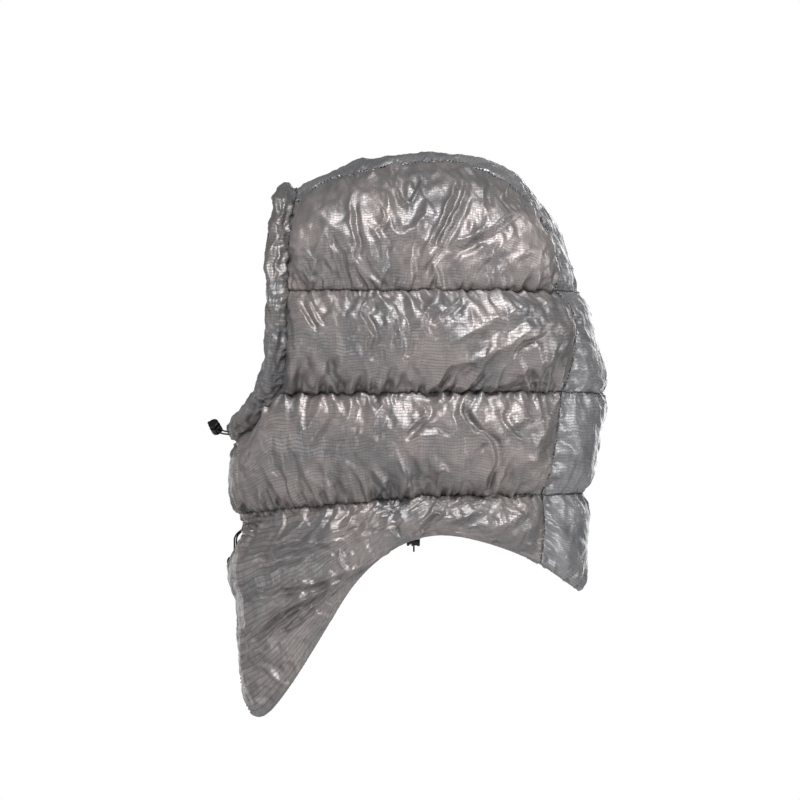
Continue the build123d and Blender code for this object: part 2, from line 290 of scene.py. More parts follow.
FRONT_BIB = [
    NECK_FRONT, (-139, 0, -263), (-145.5, 0, -279), (-149, 0, -293), (-145, 0, -313),
    (-142.5, 0, -340), (-141.5, 0, -370), (-138.5, 0, -391), BIB_TIP,
]
HEM_SIDE = [
    BIB_TIP, (-121, -36, -399), (-104, -55, -378), (-88, -64, -353),
    (-72, -70, -326.5), (-56, -74.5, -302), (-40, -77.5, -285.5), (-20, -80, -272.3),
    (5, -80.5, -265.8), (30, -78, -268.5), (55, -70, -276), NAPE_CORNER,
]

# Middle line of the centre strip, forehead to nape (X, Z), one stretch for each chamber.
MIDDLE = {
    "crown": [
        (-99.5, -8), (-90, -2), (-75, 4), (-64, 9), (-45, 14), (-22, 16.5),
        (1.5, 20), (15, 18), (37, 15.5), (50, 11), (64, 3.5), (75, -8.5),
        (86, -22), (96, -37), (101, -50), (106, -62), (111, -85),
    ],
    "ear": [(111, -85), (118, -95), (123, -113), (129, -136), (132, -154), (129, -160)],
    "jaw": [(129, -160), (131.5, -167), (129.5, -184), (126, -207), (120, -226), (114, -236)],
    "bib": [(114, -236), (118, -244), (118, -263), (117.5, -286), (114.5, -305), (112, -309)],
}
# The furthest that the hood reaches to the face at each level, chin to tip (X, Z).
FRONT_LIMIT = [
    (-143.5, -199), (-148, -207), (-149, -218), (-148, -233), (-146, -248),
    (-142, -257), (-140, -264), (-145, -278), (-151, -290), (-151, -299),
    (-145.5, -316), (-144, -338), (-143, -361), (-142, -383), (-139, -394),
    (-133, -403),
]

# Each chamber of a side strip: seam above, seam below, front edge, back edge, how far it puffs.
SIDE_CHAMBERS = {
    "crown": (GUSSET_CROWN, SEAM_1, FACE_CROWN, GUSSET_CROWN_BACK, 19.0),
    "ear": (SEAM_1, SEAM_2, FACE_EAR, GUSSET_EAR, 14.0),
    "jaw": (FACE_JAW[:-1] + SEAM_2, SEAM_3, FRONT_JAW, GUSSET_JAW, 14.0),
    "bib": (SEAM_3, HEM_SIDE, FRONT_BIB, GUSSET_NAPE, 9.0),
}
GUSSETS = {
    "crown": GUSSET_CROWN + GUSSET_CROWN_BACK[1:], "ear": GUSSET_EAR, "jaw": GUSSET_JAW, "bib": GUSSET_NAPE,
}
INNER_DEPTH = {"crown": 10.0, "ear": 9.0, "jaw": 9.0, "bib": 6.5}


# ---- noise
def perlin(x, y, seed):
    """Smooth noise of two coordinates, about -0.7 to 0.7, one lump to each unit."""
    angle = np.random.default_rng(seed).uniform(0, 2 * math.pi, (64, 64))
    x, y = np.broadcast_arrays(np.asarray(x, float), np.asarray(y, float))
    xi, yi = np.floor(x).astype(int), np.floor(y).astype(int)
    fx, fy = x - xi, y - yi

    def corner(i, j):
        a = angle[(xi + i) % 64, (yi + j) % 64]
        return np.cos(a) * (fx - i) + np.sin(a) * (fy - j)

    def fade(t):
        return t * t * t * (t * (6 * t - 15) + 10)

    wx, wy = fade(fx), fade(fy)
    low = corner(0, 0) * (1 - wx) + corner(1, 0) * wx
    high = corner(0, 1) * (1 - wx) + corner(1, 1) * wx
    return low * (1 - wy) + high * wy


def facets(a, b, seed):
    """Random heights on a lattice of triangles, flat between sharp creases, about -1 to 1."""
    level = np.random.default_rng(seed).uniform(-1, 1, (64, 64))
    b = b + 0.5 * a
    ai, bi = np.floor(a).astype(int), np.floor(b).astype(int)
    fa, fb = a - ai, b - bi
    h00, h11 = level[ai % 64, bi % 64], level[(ai + 1) % 64, (bi + 1) % 64]
    h10, h01 = level[(ai + 1) % 64, bi % 64], level[ai % 64, (bi + 1) % 64]
    low = h00 + (h10 - h00) * fa + (h01 - h00) * fb
    high = h11 + (h01 - h11) * (1 - fa) + (h10 - h11) * (1 - fb)
    return np.where(fa + fb < 1, low, high)


def creases(u, v, seed, size, stretch, leans):
    """Crushed cloth: flat facets drawn out along two leans that share the cloth unevenly."""
    drift = 0.4 * size
    wu = u + drift * perlin(u / (1.9 * size), v / (1.9 * size), seed + 1)
    wv = v + drift * perlin(u / (1.9 * size), v / (1.9 * size), seed + 2)

    def drawn(way, number):
        along = wu * math.cos(way) + wv * math.sin(way)
        across = -wu * math.sin(way) + wv * math.cos(way)
        return facets(across / size, along / (stretch * size), number)

    back = u / u.max()
    share = np.clip(1.25 - 1.5 * back + 1.6 * perlin(u / (3.5 * size) + 7, v / (3.5 * size), seed + 3), 0, 1)
    return drawn(leans[0], seed) * share + drawn(leans[1], seed + 4) * (1 - share)


# ---- chamber forms
def coons(top, bottom, left, right, cell):
    """A grid of points stretched between four border lines; rows run from top to bottom."""
    cols = max(8, int(round(max(length(top), length(bottom)) / cell)) + 1)
    rows = max(8, int(round(1.2 * max(length(left), length(right)) / cell)) + 1)
    t, b = spline(top, cols), spline(bottom, cols)
    l, r = spline(left, rows), spline(right, rows)
    u = np.linspace(0, 1, cols)[None, :, None]
    v = np.linspace(0, 1, rows)[:, None, None]
    corners = (1 - u) * (1 - v) * t[0] + u * (1 - v) * t[-1] + (1 - u) * v * b[0] + u * v * b[-1]
    return (1 - v) * t[None] + v * b[None] + (1 - u) * l[:, None] + u * r[:, None] - corners


def normals(grid):
    """Unit normals of a grid, pointing away from the inside of the hood."""
    n = np.cross(np.gradient(grid, axis=1), np.gradient(grid, axis=0))
    n /= np.linalg.norm(n, axis=2, keepdims=True) + 1e-9
    return n if (n * (grid - HOOD_CENTRE)).sum() > 0 else -n


def within_front(grid):
    """Draw back whatever reaches past the hood's front line, softly."""
    levels = np.array(FRONT_LIMIT)[::-1]
    limit = np.interp(grid[..., 2], levels[:, 1], levels[:, 0])
    low = grid[..., 2] < FRONT_LIMIT[0][1]
    soft = 2.0
    x = limit + soft * np.log1p(np.exp(np.clip((grid[..., 0] - limit) / soft, -30, 30)))
    out = grid.copy()
    out[..., 0] = np.where(low & (grid[..., 0] < limit + 12), x, grid[..., 0])
    return out


def side_form(name, cell, depth=None):
    """One chamber of the left strip, puffed most in the middle and not at all at its seams."""
    top, bottom, front, back, puff = SIDE_CHAMBERS[name]
    grid = coons(top, bottom, front, back, cell)
    rows, cols, _ = grid.shape
    u = np.linspace(0, 1, cols)[None, :]
    v = np.linspace(0, 1, rows)[:, None]
    wide = length(grid[rows // 2])
    ramp = np.minimum(np.clip(u * wide / 16.0, 0, 1), np.clip((1 - u) * wide / 30.0, 0, 1))
    across = np.sin(ramp * math.pi / 2) ** 0.9
    up = np.sin(math.pi * v) ** 0.7
    reach = puff if depth is None else depth
    out = normals(grid)
    if name == "crown":
        out = out + np.array([0.0, -1.3, 0.0]) * ((1 - v) ** 2)[:, :, None]
        out /= np.linalg.norm(out, axis=2, keepdims=True)
    swell = across * up if depth is None else np.minimum(across, up)
    form = grid + out * (reach * swell)[:, :, None]
    if name in ("jaw", "bib"):
        form = within_front(form)
    form[0], form[-1], form[:, 0], form[:, -1] = grid[0], grid[-1], grid[:, 0], grid[:, -1]
    return form


def centre_form(name, cell, depth=0.0):
    """One chamber of the centre strip, arched between its two long seams."""
    edge, middle = GUSSETS[name], MIDDLE[name]
    rows = max(8, int(round(1.1 * max(length(edge), length(middle)) / cell)) + 1)
    half = max(abs(p[1]) for p in edge)
    cols = max(8, int(round(2.4 * half / cell)) + 1)
    left = spline(edge, rows)[:, None, :]
    mid = spline([(x, 0.0, z) for x, z in middle], rows)[:, None, :]
    u = np.linspace(-1, 1, cols)[None, :, None]
    v = np.linspace(0, 1, rows)[:, None, None]
    flat = left * np.array([1, 0, 1]) + left * np.array([0, 1, 0]) * -u
    bend = 2.0 + 0.9 * np.sin(math.pi * v)
    arch = 1 - np.abs(u) ** bend
    grid = flat + (mid - left * np.array([1, 0, 1])) * arch
    if depth:
        grid = grid + normals(grid) * (depth * np.minimum(np.sin(math.pi * v) ** 0.7, arch))
    return grid


# ---- meshes
def grid_quads(rows, cols):
    """The faces of a grid of points, and the number of the point at each row and column."""
    index = np.arange(rows * cols).reshape(rows, cols)
    corners = (index[:-1, :-1], index[1:, :-1], index[1:, 1:], index[:-1, 1:])
    return np.stack(corners, -1).reshape(-1, 4), index


def smooth_mesh(name, points, faces):
    """A smooth shaded mesh of points given in mm."""
    mesh = bpy.data.meshes.new(name)
    mesh.from_pydata((np.reshape(points, (-1, 3)) * MM).tolist(), [], faces)
    mesh.polygons.foreach_set("use_smooth", [True] * len(mesh.polygons))
    mesh.update()
    return mesh


def lay_cloth(mesh, uv):
    """UVs in metres along the cloth, one for each corner of each face."""
    layer = mesh.uv_layers.new(name="cloth")
    layer.data.foreach_set("uv", uv.astype(np.float32).ravel())


def grid_mesh(name, grid):
    """A quad mesh of a grid, facing out, with UVs along its middle row and column."""
    rows, cols, _ = grid.shape
    quads, _ = grid_quads(rows, cols)
    i, j = rows // 2, cols // 2
    n = np.cross(grid[i, j + 1] - grid[i, j], grid[i + 1, j] - grid[i, j])
    if n @ (grid[i, j] - HOOD_CENTRE) > 0:
        quads = quads[:, ::-1]
    mesh = smooth_mesh(name, grid, quads.tolist())
    across, down = np.meshgrid(run_along(grid[i]) * MM, run_along(grid[:, j]) * MM)
    lay_cloth(mesh, np.stack([across.ravel(), down.ravel()], -1)[quads.ravel()])
    return mesh


def finer(grid, times):
    """The same grid with each cell divided, along smooth curves through its points."""
    def weights(count):
        spots = np.linspace(0, count - 1, (count - 1) * times + 1)
        i = np.minimum(spots.astype(int), count - 2)
        t = spots - i
        w = np.zeros((len(spots), count))
        terms = (-0.5 * t + t**2 - 0.5 * t**3, 1 - 2.5 * t**2 + 1.5 * t**3,
                 0.5 * t + 2 * t**2 - 1.5 * t**3, -0.5 * t**2 + 0.5 * t**3)
        for step, term in zip((-1, 0, 1, 2), terms):
            np.add.at(w, (np.arange(len(spots)), np.clip(i + step, 0, count - 1)), term)
        return w

    rows, cols = weights(grid.shape[0]), weights(grid.shape[1])
    return np.einsum("ri,ijk,cj->rck", rows, grid, cols, optimize=True)


def blurred(field, cells):
    """A grid of vectors smoothed over a number of cells; beyond its borders it is nothing."""
    reach = int(3 * cells)
    kernel = np.exp(-0.5 * (np.arange(-reach, reach + 1) / cells) ** 2)
    kernel /= kernel.sum()
    for axis in (0, 1):
        count = field.shape[axis]
        gap = np.abs(np.arange(count)[:, None] - np.arange(count)[None, :])
        band = np.where(gap <= reach, kernel[np.minimum(gap, reach) + reach], 0)
        field = np.moveaxis(np.tensordot(band, field, axes=(1, axis)), 0, axis)
    return field


def simulate(name, grid, seed):
    """Blow a slack grid of cloth up between its sewn borders; keep its form and take its folds."""
    rows, cols, _ = grid.shape
    rng = np.random.default_rng(seed)
    start = grid + blurred(rng.normal(0, SIM_SLACK, grid.shape), SIM_SLACK_BLUR)
    pinned = np.zeros((rows, cols), bool)
    pinned[0] = pinned[-1] = True
    pinned[:, 0] = pinned[:, -1] = True
    start[pinned] = grid[pinned]
    mesh = grid_mesh(name + "_sim", start)
    mesh.vertices.foreach_set("co", (start * MM * SIM_SCALE).astype(np.float32).ravel())
    obj = link(name + "_sim", mesh)
    group = obj.vertex_groups.new(name="pin")
    group.add(np.where(pinned.ravel())[0].tolist(), 1.0, "REPLACE")
    cloth = obj.modifiers.new("cloth", "CLOTH")
    s = cloth.settings
    s.quality = 5
    s.mass = 0.1
    s.vertex_group_mass = "pin"
    s.tension_stiffness = s.compression_stiffness = 15
    s.shear_stiffness = 5
    s.bending_stiffness = 0.03
    s.tension_damping = s.compression_damping = s.shear_damping = 5
    s.bending_damping = 0.5
    s.shrink_min = -SIM_EXCESS
    s.use_pressure = True
    s.uniform_pressure_force = SIM_PRESSURE
    s.effector_weights.gravity = 0
    cloth.collision_settings.use_collision = False
    cloth.collision_settings.use_self_collision = False
    scene = bpy.context.scene
    for clock in (cloth.point_cache, scene):
        clock.frame_start = 1
        clock.frame_end = SIM_FRAMES
    for frame_number in range(1, SIM_FRAMES + 1):
        scene.frame_set(frame_number)
    settled = bpy.data.meshes.new_from_object(obj.evaluated_get(bpy.context.evaluated_depsgraph_get()))
    co = np.empty(rows * cols * 3, np.float32)
    settled.vertices.foreach_get("co", co)
    bpy.data.objects.remove(obj)
    scene.frame_set(1)
    moved = co.reshape(rows, cols, 3).astype(float) / (MM * SIM_SCALE) - grid
    folds = moved - blurred(moved, FOLD_BLUR / SIM_CELL)
    size = np.linalg.norm(folds, axis=2, keepdims=True)
    folds *= FOLD_CAP * np.tanh(size / FOLD_CAP) / (size + 1e-9)
    rim_rows = np.minimum(np.arange(rows), np.arange(rows)[::-1])[:, None]
    rim_cols = np.minimum(np.arange(cols), np.arange(cols)[::-1])[None, :]
    folds *= np.clip(np.minimum(rim_rows, rim_cols) * SIM_CELL / FOLD_FADE, 0, 1)[:, :, None]
    return grid + folds


# ---- folds
def puckers(height, along, off, seed, strength, reach):
    """Short pleats that start square to a seam: along and off are distances from its corner."""
    rng = np.random.default_rng(seed)
    end = float(along.max())
    place = 2.0
    while place < end:
        longer = rng.random() ** 2.2
        long = (5.0 + 24.0 * longer) * reach
        wide = 1.0 + 2.0 * longer + 0.4 * rng.random()
        tall = (0.8 + 2.4 * longer) * strength
        lean = rng.normal(0, 0.30)
        near = (np.abs(along - place) < 3 * wide + 0.8 * long) & (off < long)
        if near.any():
            a, o = along[near], off[near]
            fade = (1 - o / long) ** 1.3 * np.clip(o / 1.6, 0.15, 1)
            gap = (a - place - lean * o) / (wide * (1 + 0.9 * o / long))
            ridge = np.exp(-np.abs(gap) ** 1.4)
            hollow = np.exp(-((gap - 1.7) / 1.1) ** 2)
            height[near] += tall * fade * (ridge - 0.75 * hollow)
        place += rng.uniform(2.6, 6.5)


def fold_line(height, x, z, points, tall, wide, seed):
    """One long fold along a line in the side view: a crisp ridge with a hollow beside it."""
    line = spline(points, 24) if len(points) > 2 else np.array(points, float)
    total = run_along(line)
    box = (x > line[:, 0].min() - 6 * wide) & (x < line[:, 0].max() + 6 * wide)
    box &= (z > line[:, 1].min() - 6 * wide) & (z < line[:, 1].max() + 6 * wide)
    if not box.any():
        return
    px = x[box] + 1.6 * perlin(x[box] / 9, z[box] / 9, seed)
    pz = z[box] + 1.6 * perlin(x[box] / 9, z[box] / 9, seed + 5)
    best = np.full(px.shape, 1e9)
    side = np.zeros(px.shape)
    spot = np.zeros(px.shape)
    for a, b, run in zip(line[:-1], line[1:], total):
        d = b - a
        t = np.clip(((px - a[0]) * d[0] + (pz - a[1]) * d[1]) / (d @ d), 0, 1)
        gx, gz = px - a[0] - t * d[0], pz - a[1] - t * d[1]
        gap = np.hypot(gx, gz)
        take = gap < best
        best[take] = gap[take]
        side[take] = np.sign(d[0] * gz - d[1] * gx)[take]
        spot[take] = (run + t * math.sqrt(d @ d))[take]
    d = best * side / wide
    taper = np.clip(np.minimum(spot, total[-1] - spot) / (0.28 * total[-1]), 0, 1) ** 0.8
    taper *= np.exp(-np.clip(best - 5 * wide, 0, None))
    ridge = np.exp(-np.abs(d) ** 1.2)
    hollow = np.exp(-((d - 2.1) / 1.35) ** 2)
    height[box] += 1.5 * tall * taper * (ridge - 0.9 * hollow)


# Long folds of the left side: height, half width and the line in the side view (X, Z).
FOLDS = {
    "crown": [
        (2.6, 2, (21, 2), (17, -12), (8, -32), (-3, -54), (-9, -70)),
        (2.2, 2.3, (28, -4), (22, -20), (11, -42), (-2, -62), (-14, -80)),
        (1.9, 2.1, (-24, 4), (-25, -10), (-17, -20), (-9, -12), (-7, 2)),
        (1.8, 3.2, (-32, 2), (-31, -22), (-22, -44), (-10, -38), (-2, -18)),
        (2, 1.9, (-57, -12), (-59, -34), (-56, -52), (-60, -66), (-54, -84)),
        (1.3, 2, (-80, -38), (-74, -52), (-69, -66), (-68, -83)),
        (1, 1.8, (-40, -16), (-34, -30), (-44, -44)), (1.2, 2.2, (-48, -34), (-37, -46), (-36, -70)),
        (1.9, 2.8, (70, -22), (48, -36), (24, -47), (10, -52)),
        (1.6, 2.2, (44, -30), (34, -43), (16, -56), (9, -64)),
        (1.4, 3.2, (62, -40), (50, -56), (36, -66), (30, -80)),
        (1.1, 2.6, (78, -52), (62, -62), (52, -74)), (1.6, 2.4, (44, 2), (38, -12), (42, -28)),
        (1.3, 2, (58, -4), (52, -18)), (1, 2, (-96, -64), (-90, -76), (-80, -84)),
    ],
    "ear": [
        (2.1, 1.9, (-42, -90), (-50, -104), (-43, -118), (-47, -132), (-41, -141)),
        (2, 3, (-28, -90), (-24, -108), (-21, -128), (-24, -150)),
        (1.1, 2.4, (-34, -96), (-30, -118), (-34, -140)),
        (1.5, 1.6, (-100, -92), (-92, -106), (-84, -118)),
        (1.1, 1.4, (-92, -90), (-86, -102), (-80, -112)),
        (2.2, 4.4, (92, -92), (66, -100), (38, -112), (12, -128)),
        (1.9, 3.4, (96, -104), (72, -116), (52, -128), (30, -137), (2, -141)),
        (1.3, 1.8, (86, -116), (66, -124), (58, -134)), (1.5, 2.4, (4, -92), (-6, -106), (-2, -122)),
        (1.3, 2, (24, -88), (14, -98), (6, -102)), (1.2, 3.2, (-60, -124), (-48, -140), (-44, -154)),
        (1.4, 2.4, (-10, -130), (-18, -144), (-12, -156)), (1.4, 3, (70, -150), (34, -156), (0, -152)),
        (1, 3, (102, -122), (84, -138), (60, -148)),
    ],
    "jaw": [
        (3.8, 2.2, (28, -162), (22, -176), (33, -190), (42, -196), (46, -210), (36, -228)),
        (1.5, 1.6, (42, -192), (33, -203), (30, -214)),
        (1.4, 2.2, (-10, -163), (-4, -174), (-14, -184), (-22, -196)),
        (1.4, 3, (-58, -164), (-60, -176), (-64, -190)),
        (1.4, 3.2, (-80, -166), (-86, -180), (-98, -192)),
        (1.2, 2.4, (-34, -166), (-40, -180), (-46, -194)),
        (1.9, 2.8, (-30, -196), (-22, -212), (-14, -228), (-10, -240)),
        (1.6, 2, (-44, -216), (-34, -228), (-30, -242)),
        (1.4, 2.6, (-66, -206), (-54, -222), (-46, -240)),
        (1.4, 3, (-96, -214), (-80, -230), (-66, -244)),
        (1, 3.6, (-126, -206), (-118, -226), (-108, -240)), (1, 2.2, (-18, -196), (-2, -192), (14, -194)),
        (1.3, 2.6, (84, -178), (62, -184), (50, -196)),
        (1.3, 2.2, (64, -166), (52, -176), (56, -188), (74, -196)),
        (1.2, 2.4, (-2, -206), (8, -216), (18, -222)), (1.2, 3, (84, -208), (66, -214), (50, -226)),
    ],
    "bib": [
        (2.6, 2.2, (8, -238), (0, -250), (-10, -262), (-8, -270)),
        (1.7, 2.2, (-14, -262), (-40, -282), (-76, -298), (-116, -306), (-140, -310)),
        (2.6, 2.2, (-44, -288), (-70, -302), (-98, -316), (-126, -334), (-136, -344)),
        (2.2, 1.7, (-52, -297), (-78, -312), (-106, -332), (-122, -342)),
        (1.7, 3, (-38, -264), (-70, -270), (-104, -276), (-140, -284)),
        (1.4, 1.6, (-68, -274), (-66, -286), (-63, -294)),
        (1.5, 2.6, (-50, -246), (-66, -262), (-82, -270)),
        (1.4, 2.2, (-28, -242), (-44, -256), (-54, -270)),
        (1.4, 2.4, (-82, -250), (-98, -262), (-116, -270)), (1.2, 1.6, (-30, -260), (-24, -268)),
        (1.3, 2.4, (-124, -368), (-108, -376), (-98, -382)), (1, 1.8, (-130, -388), (-118, -396)),
        (1.3, 1.8, (-112, -322), (-134, -344)), (1.1, 3.2, (-60, -318), (-88, -338), (-100, -352)),
        (1.3, 2.8, (74, -246), (60, -256), (36, -262)), (1.2, 2.6, (46, -240), (30, -250), (10, -256)),
    ],
}
NECK_GATHER = (-137.0, -257.0)
# The right of the bib lies hollow behind the neck lock, all along the lock's slide.
NECK_LOCK_REST = (-143.0, 33.0, -291.0)
NECK_LOCK_DENT = 6.0
NECK_LOCK_REACH = 11.0
# Crushed cloth: height, size of a facet, stretch, two leans and step of the seed. The finest
# keeps its height on every piece and reaches nearer to the seams.
CRUSHED = (
    (2.5, 24.0, 2.2, (1.15, 2.35), 5),
    (1.1, 12.0, 4.2, (1.35, 2.50), 0),
    (0.38, 5.2, 4.0, (1.80, 2.70), 11),
)
CRUSHED_FINE = (0.13, 2.5, 2.2, (1.0, 2.2), 23)
SEAM_EASE = 7.0


def gather(height, x, z):
    """Pleats bunched round the front exit of the neck drawcord, with the slit it leaves by."""
    dx, dz = x - NECK_GATHER[0], z - NECK_GATHER[1]
    far = np.hypot(dx, 1.3 * dz)
    turn = np.arctan2(dz, dx)
    height += 1.3 * np.cos(13 * turn + 0.12 * far) * np.exp(-(((far - 7) / 4) ** 2))
    height += 2.2 * np.exp(-(((far - 9) / 2.4) ** 2))
    height -= 2.6 * np.exp(-((dz / 1.3) ** 2) - ((dx + 3) / 7) ** 2)


def add_folds(height, grid, name, side, seed):
    """A chamber's long folds: all of them on the left, every second one, shifted, on the right."""
    for k, (tall, wide, *line) in enumerate(FOLDS[name] if side == "left" else FOLDS[name][::2]):
        if side == "right":
            line = [(x + 9 * math.sin(seed + k), z + 5 * math.cos(seed + k)) for x, z in line]
        fold_line(height, grid[..., 0], grid[..., 2], line, tall, wide, seed + 91 + k)


def detailed(grid, name, side, seed, edges, coarse):
    """Add pleats at the four seams, long folds and crinkles to a fine grid; a lining's go inward."""
    rows, cols, _ = grid.shape
    u = np.broadcast_to(run_along(grid[rows // 2])[None, :], (rows, cols))
    v = np.broadcast_to(run_along(grid[:, cols // 2])[:, None], (rows, cols))
    far_u, far_v = u.max() - u, v.max() - v
    seam = np.minimum(np.minimum(u, far_u), np.minimum(v, far_v))
    ease = np.clip(seam / SEAM_EASE, 0, 1) ** 0.7
    height = np.zeros((rows, cols))
    for tall, size, stretch, leans, step in CRUSHED:
        height += tall * coarse * ease * creases(u, v, seed + step, size, stretch, leans)
    tall, size, stretch, leans, step = CRUSHED_FINE
    height += tall * np.clip(ease * 2, 0, 1) * creases(u, v, seed + step, size, stretch, leans)
    for k, (along, off) in enumerate(((u, v), (u, far_v), (v, u), (v, far_u))):
        puckers(height, along, off, seed + 31 + k, edges[k], edges[k] * (1.5 if k < 2 else 1.1))
        puckers(height, along, off, seed + 61 + k, 0.5 * edges[k], 0.4)
    if name == "lining":
        height = -np.abs(height)
    elif side != "centre":
        add_folds(height, grid, name, side, seed)
    if name == "bib" and side == "right":
        apart = np.linalg.norm(grid - np.array(NECK_LOCK_REST), axis=2)
        height -= NECK_LOCK_DENT * np.exp(-((apart / NECK_LOCK_REACH) ** 2))
    if name == "bib" and side != "centre":
        gather(height, grid[..., 0], grid[..., 2])
    height = np.clip(height, -0.1 - 0.3 * seam, 0.5 + 0.6 * seam)
    height = HEIGHT_CAP * np.tanh(height / HEIGHT_CAP)
    height[0] = height[-1] = 0
    height[:, 0] = height[:, -1] = 0
    return grid + normals(grid) * height[:, :, None]


def unrest(points):
    """A fine wandering shared by every piece, so that seams zig-zag and stay closed."""
    p = np.asarray(points, float)
    x, y, z = p[..., 0], p[..., 1], p[..., 2]
    shift = np.stack([
        1.0 * perlin(z / 6.5 + y / 17, x / 23, 5),
        0.8 * perlin(x / 8 + z / 15, y / 9, 6),
        1.3 * perlin(x / 4.6 + y / 5.3, z / 21, 7) + 2.2 * perlin(x / 15, y / 15 + z / 60, 8),
    ], -1)
    hem = np.array(HEM_SIDE)
    fade = np.clip((z - np.interp(x, hem[:, 0], hem[:, 2]) - 4) / 14, 0, 1)
    return p + shift * fade[..., None]


def skirted(grid, allowance):
    """The grid with a narrow allowance turned in behind each of its four seams."""
    turned = grid - normals(grid) * allowance
    full = np.pad(grid, ((1, 1), (1, 1), (0, 0)), mode="edge")
    full[0, 1:-1], full[-1, 1:-1] = turned[0], turned[-1]
    full[1:-1, 0], full[1:-1, -1] = turned[:, 0], turned[:, -1]
    for i in (0, -1):
        for j in (0, -1):
            full[i, j] = turned[i, j]
    return full


def cloth_piece(name, grid, material, nodes, allowance):
    """The finished mesh of one chamber's cloth; its allowance keeps a crisp fold at the seam."""
    mesh = grid_mesh(name, skirted(unrest(grid), allowance) if allowance else unrest(grid))
    if allowance:
        smooth = np.zeros((grid.shape[0] + 1, grid.shape[1] + 1), bool)
        smooth[1:-1, 1:-1] = True
        mesh.polygons.foreach_set("use_smooth", smooth.ravel())
    obj = put_piece(name, mesh, material, nodes)


def pillow(name, outer, inner, node):
    """The down between shell and lining, a closed cushion drawn in from both."""
    inside = slice(FILL_MARGIN, -FILL_MARGIN)
    a, b = ((inner + (outer - inner) * share)[inside, inside] for share in FILL_SHARES)
    quads, index = grid_quads(*a.shape[:2])
    n = index.size
    rim = np.concatenate([index[0], index[1:, -1], index[-1, -2::-1], index[-2:0:-1, 0]]).tolist()
    faces = quads.tolist() + (quads[:, ::-1] + n).tolist()
    faces += [(p, q, q + n, p + n) for p, q in zip(rim, rim[1:] + rim[:1])]
    obj = put_piece(name, smooth_mesh(name, np.stack([a, b]), faces), DOWN, [node])


# How strongly the cloth puckers at a chamber's top, bottom, front and back, and how crushed it is.
PUCKERED = {"side": (0.95, 1.6, 0.6, 0.45), "bib": (0.9, 0.35, 0.5, 0.4), "centre": (0.7, 0.7, 0.8, 0.8)}
CRUSH = {"side": 1.0, "bib": 0.85, "centre": 0.5}
LINING_PUCKERED = (0.8, 0.8, 0.6, 0.6)
LINING_CRUSH = 0.7


def build_chamber(name, side, seed):
    """Shell, lining and down of one chamber."""
    flip = np.array([1, -1 if side == "right" else 1, 1.0])

    def form(cell, inward=None):
        if side == "centre":
            return centre_form(name, cell, -(inward or 0.0))
        return side_form(name, cell, None if inward is None else -inward) * flip

    kind = "centre" if side == "centre" else "bib" if name == "bib" else "side"
    outer = finer(simulate(f"{name}_{side}", form(SIM_CELL), seed), REFINE)
    outer = detailed(outer, name, side, seed, PUCKERED[kind], CRUSH[kind])
    # the centre strip wears a copy of the shell nylon toned lighter and bluer: painted sky light
    shell = SHELL_SKY_TINTED if side == "centre" else SHELL
    cloth_piece(f"shell_{name}_{side}", outer, shell, [f"shell_{side}"], ALLOWANCE)
    deep = INNER_DEPTH[name]
    inner = finer(form(LINING_CELL, deep), LINING_REFINE)
    inner = detailed(inner, "lining", side, seed + 500, LINING_PUCKERED, LINING_CRUSH)
    cloth_piece(f"lining_{name}_{side}", inner, LINING, [f"lining_{side}"], 0.0)
    pillow(f"fill_{name}_{side}", form(FILL_CELL), form(FILL_CELL, deep), f"down_{name}_{side}")


# ---- materials
METAL_SHEEN = 0.52
NYLON_SPECULAR = 0.6
PLAIN_SPECULAR = 0.3


def add(tree, kind, inputs, **settings):
    """A new node; an input given as another node's output is linked, and any other is set."""
    new = tree.nodes.new(f"ShaderNode{kind}")
    for key, value in settings.items():
        setattr(new, key, value)
    for key, value in inputs.items():
        plug(tree, new, key, value)
    return new


def plug(tree, node, key, value):
    if isinstance(value, bpy.types.NodeSocket):
        tree.links.new(value, node.inputs[key])
    else:
        node.inputs[key].default_value = value


def noise(tree, vector, scale, detail, **more):
    inputs = {"Vector": vector, "Scale": scale, "Detail": detail, **more}
    return add(tree, "TexNoise", inputs).outputs["Fac"]


def maths(tree, operation, a, b):
    return add(tree, "Math", {0: a, 1: b}, operation=operation).outputs[0]


def spread(tree, value, low, high, start=0.0, end=1.0, **settings):
    """A value between start and end, spread between low and high."""
    inputs = {"Value": value, "From Min": start, "From Max": end, "To Min": low, "To Max": high}
    return add(tree, "MapRange", inputs, **settings).outputs[0]


def two_tones(tree, value, dark, light, start=0.0, end=1.0):
    ramp = add(tree, "ValToRGB", {"Fac": value})
    for element, place, colour in zip(ramp.color_ramp.elements, (start, end), (dark, light)):
        element.position = place
        element.color = (*colour, 1)
    return ramp.outputs["Color"]


def bump(tree, height, strength, depth, under=None):
    inputs = {"Height": height, "Strength": strength, "Distance": depth}
    if under:
        inputs["Normal"] = under
    return add(tree, "Bump", inputs).outputs["Normal"]


def new_material(name, values):
    """A material whose shader has no values or links yet but these."""
    mat = bpy.data.materials.new(name)
    mat.use_nodes = True
    bsdf = mat.node_tree.nodes["Principled BSDF"]
    for key, value in values.items():
        bsdf.inputs[key].default_value = value
    return mat, mat.node_tree, bsdf


